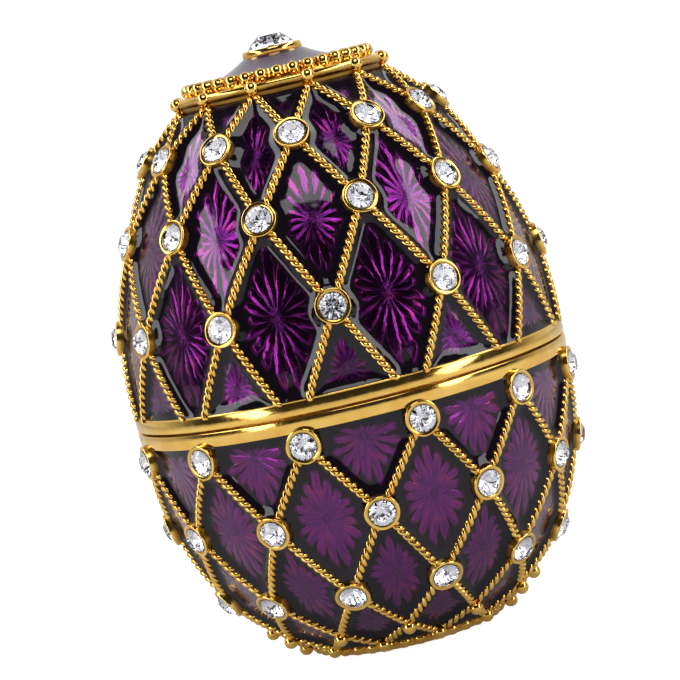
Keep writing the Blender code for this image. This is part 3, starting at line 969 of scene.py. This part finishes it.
def capShape():
    # like a pagoda's roof: nearly flat at its edge and steeper towards the crown cup
    edge, bottom = crown["ringRadius"] - 0.55, crown["capBottom"]
    run = edge - crown["cupRadius"] + 0.3
    slope = []
    for share in np.linspace(0, 1, 24):
        rise = crown["capRise"] * share ** crown["capPower"]
        slope.append((edge - run * share, crown["ringHeight"] + rise))
    return lathe([(0, bottom), (edge, bottom), *slope, (2.65, slope[-1][1]), (0, 67.6)], 96)


ballShape = bead(ball["radius"], 1.0, ball["sides"])
post = lathe([(0, 0.9), (0.42, 0.9), (0.5, -0.3), (0, -0.3)], 12)  # holds a ball off the bar
z, first = rows["topBalls"]
crownShapes = [lathe(barSection(), crown["sides"], crown["barPaintedShade"])]
crownShapes += [onEgg(ballShape, z, first + step * i, ball["liftAtRim"]) for i in range(perRow)]
crownShapes += [onEgg(post, z, first + step * i) for i in range(perRow)]
crownShapes += [beadRing(), crownCup()]
makePiece("lidCrown", joined(crownShapes), [polishedGold], ["lid_shell"], 45)
makePiece("lidCap", capShape(), [capEnamel], ["lid_shell"], 40)

# Foot: balls, a thin rib and a ring of low beads

foot = {
    "beads": 36,
    "bead": 0.74,
    "beadWidth": 1.16,
    "radius": 11.05,
    "height": 0.74,
    "ballRise": 0.2,  # the lowest balls sit a little over the ends of their ropes
    "rib": [(10.7, 1.3), (11.75, 1.3), (11.85, 1.42), (11.75, 1.54), (10.7, 1.62)],
    # painted shade over the whole rib, which lies in under the foot balls
    "ribPaintedShade": 0.3,
}
underZ, underFirst = rows["underBalls"]
footZ, footFirst = rows["footBalls"][0] + foot["ballRise"], rows["footBalls"][1]
footShapes = [onEgg(ballShape, underZ, underFirst + step * i, ball["liftUnder"]) for i in range(perRow)]
footShapes += [onEgg(ballShape, footZ, footFirst + step * i, ball["liftAtFoot"]) for i in range(perRow)]
footShapes.append(lathe(foot["rib"], crown["sides"], [foot["ribPaintedShade"]] * len(foot["rib"])))
lowBead = moved(lying(bead(foot["bead"], foot["beadWidth"])), 0, -foot["radius"], foot["height"])
footShapes += [turned(lowBead, 360 * (i + 0.5) / foot["beads"]) for i in range(foot["beads"])]
makePiece("baseFootBeads", joined(footShapes), [polishedGold], ["base_shell"], 45)
print("crown and foot made")

# Stage, light and camera

stage = {
    "floorRadius": 3.0,
    "paper": "#A8A8A8",
    "glowSeen": 0.93,
    "paintedShadowGlow": 0.15,  # painted shadow: what the paper gives back to the metal from right under the egg
    "glowElsewhere": 0.38,
    "shadeEnds": (0.008, 0.045),  # m from the egg's middle, over which the painted shadow lifts
    "background": 1.05,
    "roomFront": 0.03,
    "roomBack": 0.7,
    "roomTurns": (-0.1, 0.75),  # from beside the egg to behind it, where the room gets bright
    "inStones": 1.5,  # the brightest part of the room, as the stones' facets catch it
    "inStonesTurns": (-0.985, -0.94),  # but not from where the camera stands
    "flagScale": 5.5,  # dark flags about the room, which give the facets their contrast
    "flagEdge": (0.43, 0.49),
}


def paperFloor():
    # Matt white paper under soft light, bright enough to read as the plain white of a cut-out photo.
    material, tree = newMaterial("mattWhitePaper")
    diffuse = addNode(tree, "BsdfDiffuse", {}, {"Color": linear(stage["paper"])})
    seen = addNode(tree, "LightPath").outputs["Is Camera Ray"]
    place = addNode(tree, "TexCoord").outputs["Object"]
    away = addNode(tree, "VectorMath", {"operation": "LENGTH"}, [place]).outputs["Value"]
    # painted shadow: for all but the camera, the paper glows less right under the egg
    shaded = addNode(tree, "MapRange", smooth, [
        away, *stage["shadeEnds"], stage["paintedShadowGlow"], stage["glowElsewhere"],
    ])
    strength = addNode(tree, "MapRange", {}, [seen, 0.0, 1.0, shaded, stage["glowSeen"]])
    glow = addNode(tree, "Emission", {}, {"Strength": strength})
    both = addNode(tree, "AddShader", {}, [diffuse, glow])
    addNode(tree, "OutputMaterial", {}, {"Surface": both})
    return material


floorMesh = bpy.data.meshes.new("floor")
floorBm = bmesh.new()
bmesh.ops.create_circle(floorBm, cap_ends=True, segments=64, radius=stage["floorRadius"])
floorBm.to_mesh(floorMesh)
floorBm.free()
floorMesh.materials.append(paperFloor())
floor = bpy.data.objects.new("floor", floorMesh)
bpy.context.scene.collection.objects.link(floor)

world = bpy.data.worlds.new("studio")
bpy.context.scene.world = world
world.use_nodes = True
sky = world.node_tree
sky.nodes.clear()
direction = addNode(sky, "TexCoord").outputs["Generated"]
depth = addNode(sky, "SeparateXYZ", {}, [direction]).outputs["Y"]
behind = addNode(sky, "MapRange", smooth, [depth, *stage["roomTurns"], stage["roomFront"], stage["roomBack"]])
inStones = addNode(sky, "MapRange", smooth, [depth, *stage["inStonesTurns"], 0.0, 1.0])
flags = addNode(sky, "TexNoise", {}, {"Vector": direction, "Scale": stage["flagScale"], "Detail": 1.0})
flags = addNode(sky, "MapRange", {}, [flags, *stage["flagEdge"], stage["roomFront"], stage["inStones"]])
inStones = addNode(sky, "Math", {"operation": "MULTIPLY"}, [inStones, flags])
rays = addNode(sky, "LightPath").outputs
strength = addNode(sky, "Mix", {}, [rays["Is Transmission Ray"], None, behind, inStones])
room = addNode(sky, "Background", {}, {"Color": (1, 1, 1, 1), "Strength": strength.outputs["Result"]})
paper = addNode(sky, "Background", {}, {"Color": (1, 1, 1, 1), "Strength": stage["background"]})
mixed = addNode(sky, "MixShader", {}, [rays["Is Camera Ray"], room, paper])
addNode(sky, "OutputWorld", {}, {"Surface": mixed})

softboxes = [  # name, lower and upper end in m, width in m, brightness
    ("leftStrip", (-0.44, -0.41, 0.02), (-0.26, 0.24, 0.46), 0.12, 4.6),
    ("rightStrip", (0.44, -0.41, 0.02), (0.26, 0.24, 0.46), 0.12, 4.6),
    ("topBox", (0.05, -0.42, 0.46), (0.05, -0.20, 0.56), 0.30, 4.0),
]
lookAt = Vector((0, 0, 0.035))  # the middle of the egg
for name, low, high, width, brightness in softboxes:
    low, high = Vector(low), Vector(high)
    light = bpy.data.lights.new(name, "AREA")
    light.shape = "RECTANGLE"
    light.size, light.size_y = width, (high - low).length
    light.energy = brightness * math.pi * width * (high - low).length
    lamp = bpy.data.objects.new(name, light)
    lamp.location = (low + high) / 2
    facing = (lamp.location - lookAt).normalized()
    along = (high - low).normalized()
    facing = (facing - facing.dot(along) * along).normalized()
    lamp.rotation_euler = Matrix((along.cross(facing), along, facing)).transposed().to_euler()
    lamp.visible_camera = False
    bpy.context.scene.collection.objects.link(lamp)

camera = {
    "place": (0, -0.3575, 0.0689),
    "yaw": -0.018,
    "pitch": -5.405,
    "roll": -13.419,  # the photo is tilted, not the egg
    "focal": 3074.7,  # px in a frame of this size
    "frame": 680,
}


def addCamera():
    yaw, pitch, roll = (math.radians(camera[k]) for k in ("yaw", "pitch", "roll"))
    forward = Vector((math.sin(yaw) * math.cos(pitch), math.cos(yaw) * math.cos(pitch), math.sin(pitch)))
    right = forward.cross(Vector((0, 0, 1))).normalized()
    up = right.cross(forward)
    tiltedRight = math.cos(roll) * right + math.sin(roll) * up
    tiltedUp = -math.sin(roll) * right + math.cos(roll) * up
    lens = bpy.data.cameras.new("camera")
    lens.sensor_width = 36
    lens.lens = camera["focal"] / camera["frame"] * lens.sensor_width
    lens.clip_start = 0.01
    eye = bpy.data.objects.new("camera", lens)
    axes = Matrix((tiltedRight, tiltedUp, -forward)).transposed().to_4x4()
    eye.matrix_world = Matrix.Translation(camera["place"]) @ axes
    bpy.context.scene.collection.objects.link(eye)
    bpy.context.scene.camera = eye


addCamera()
bpy.context.scene.view_settings.view_transform = "Standard"
print("stage, lights and camera placed")
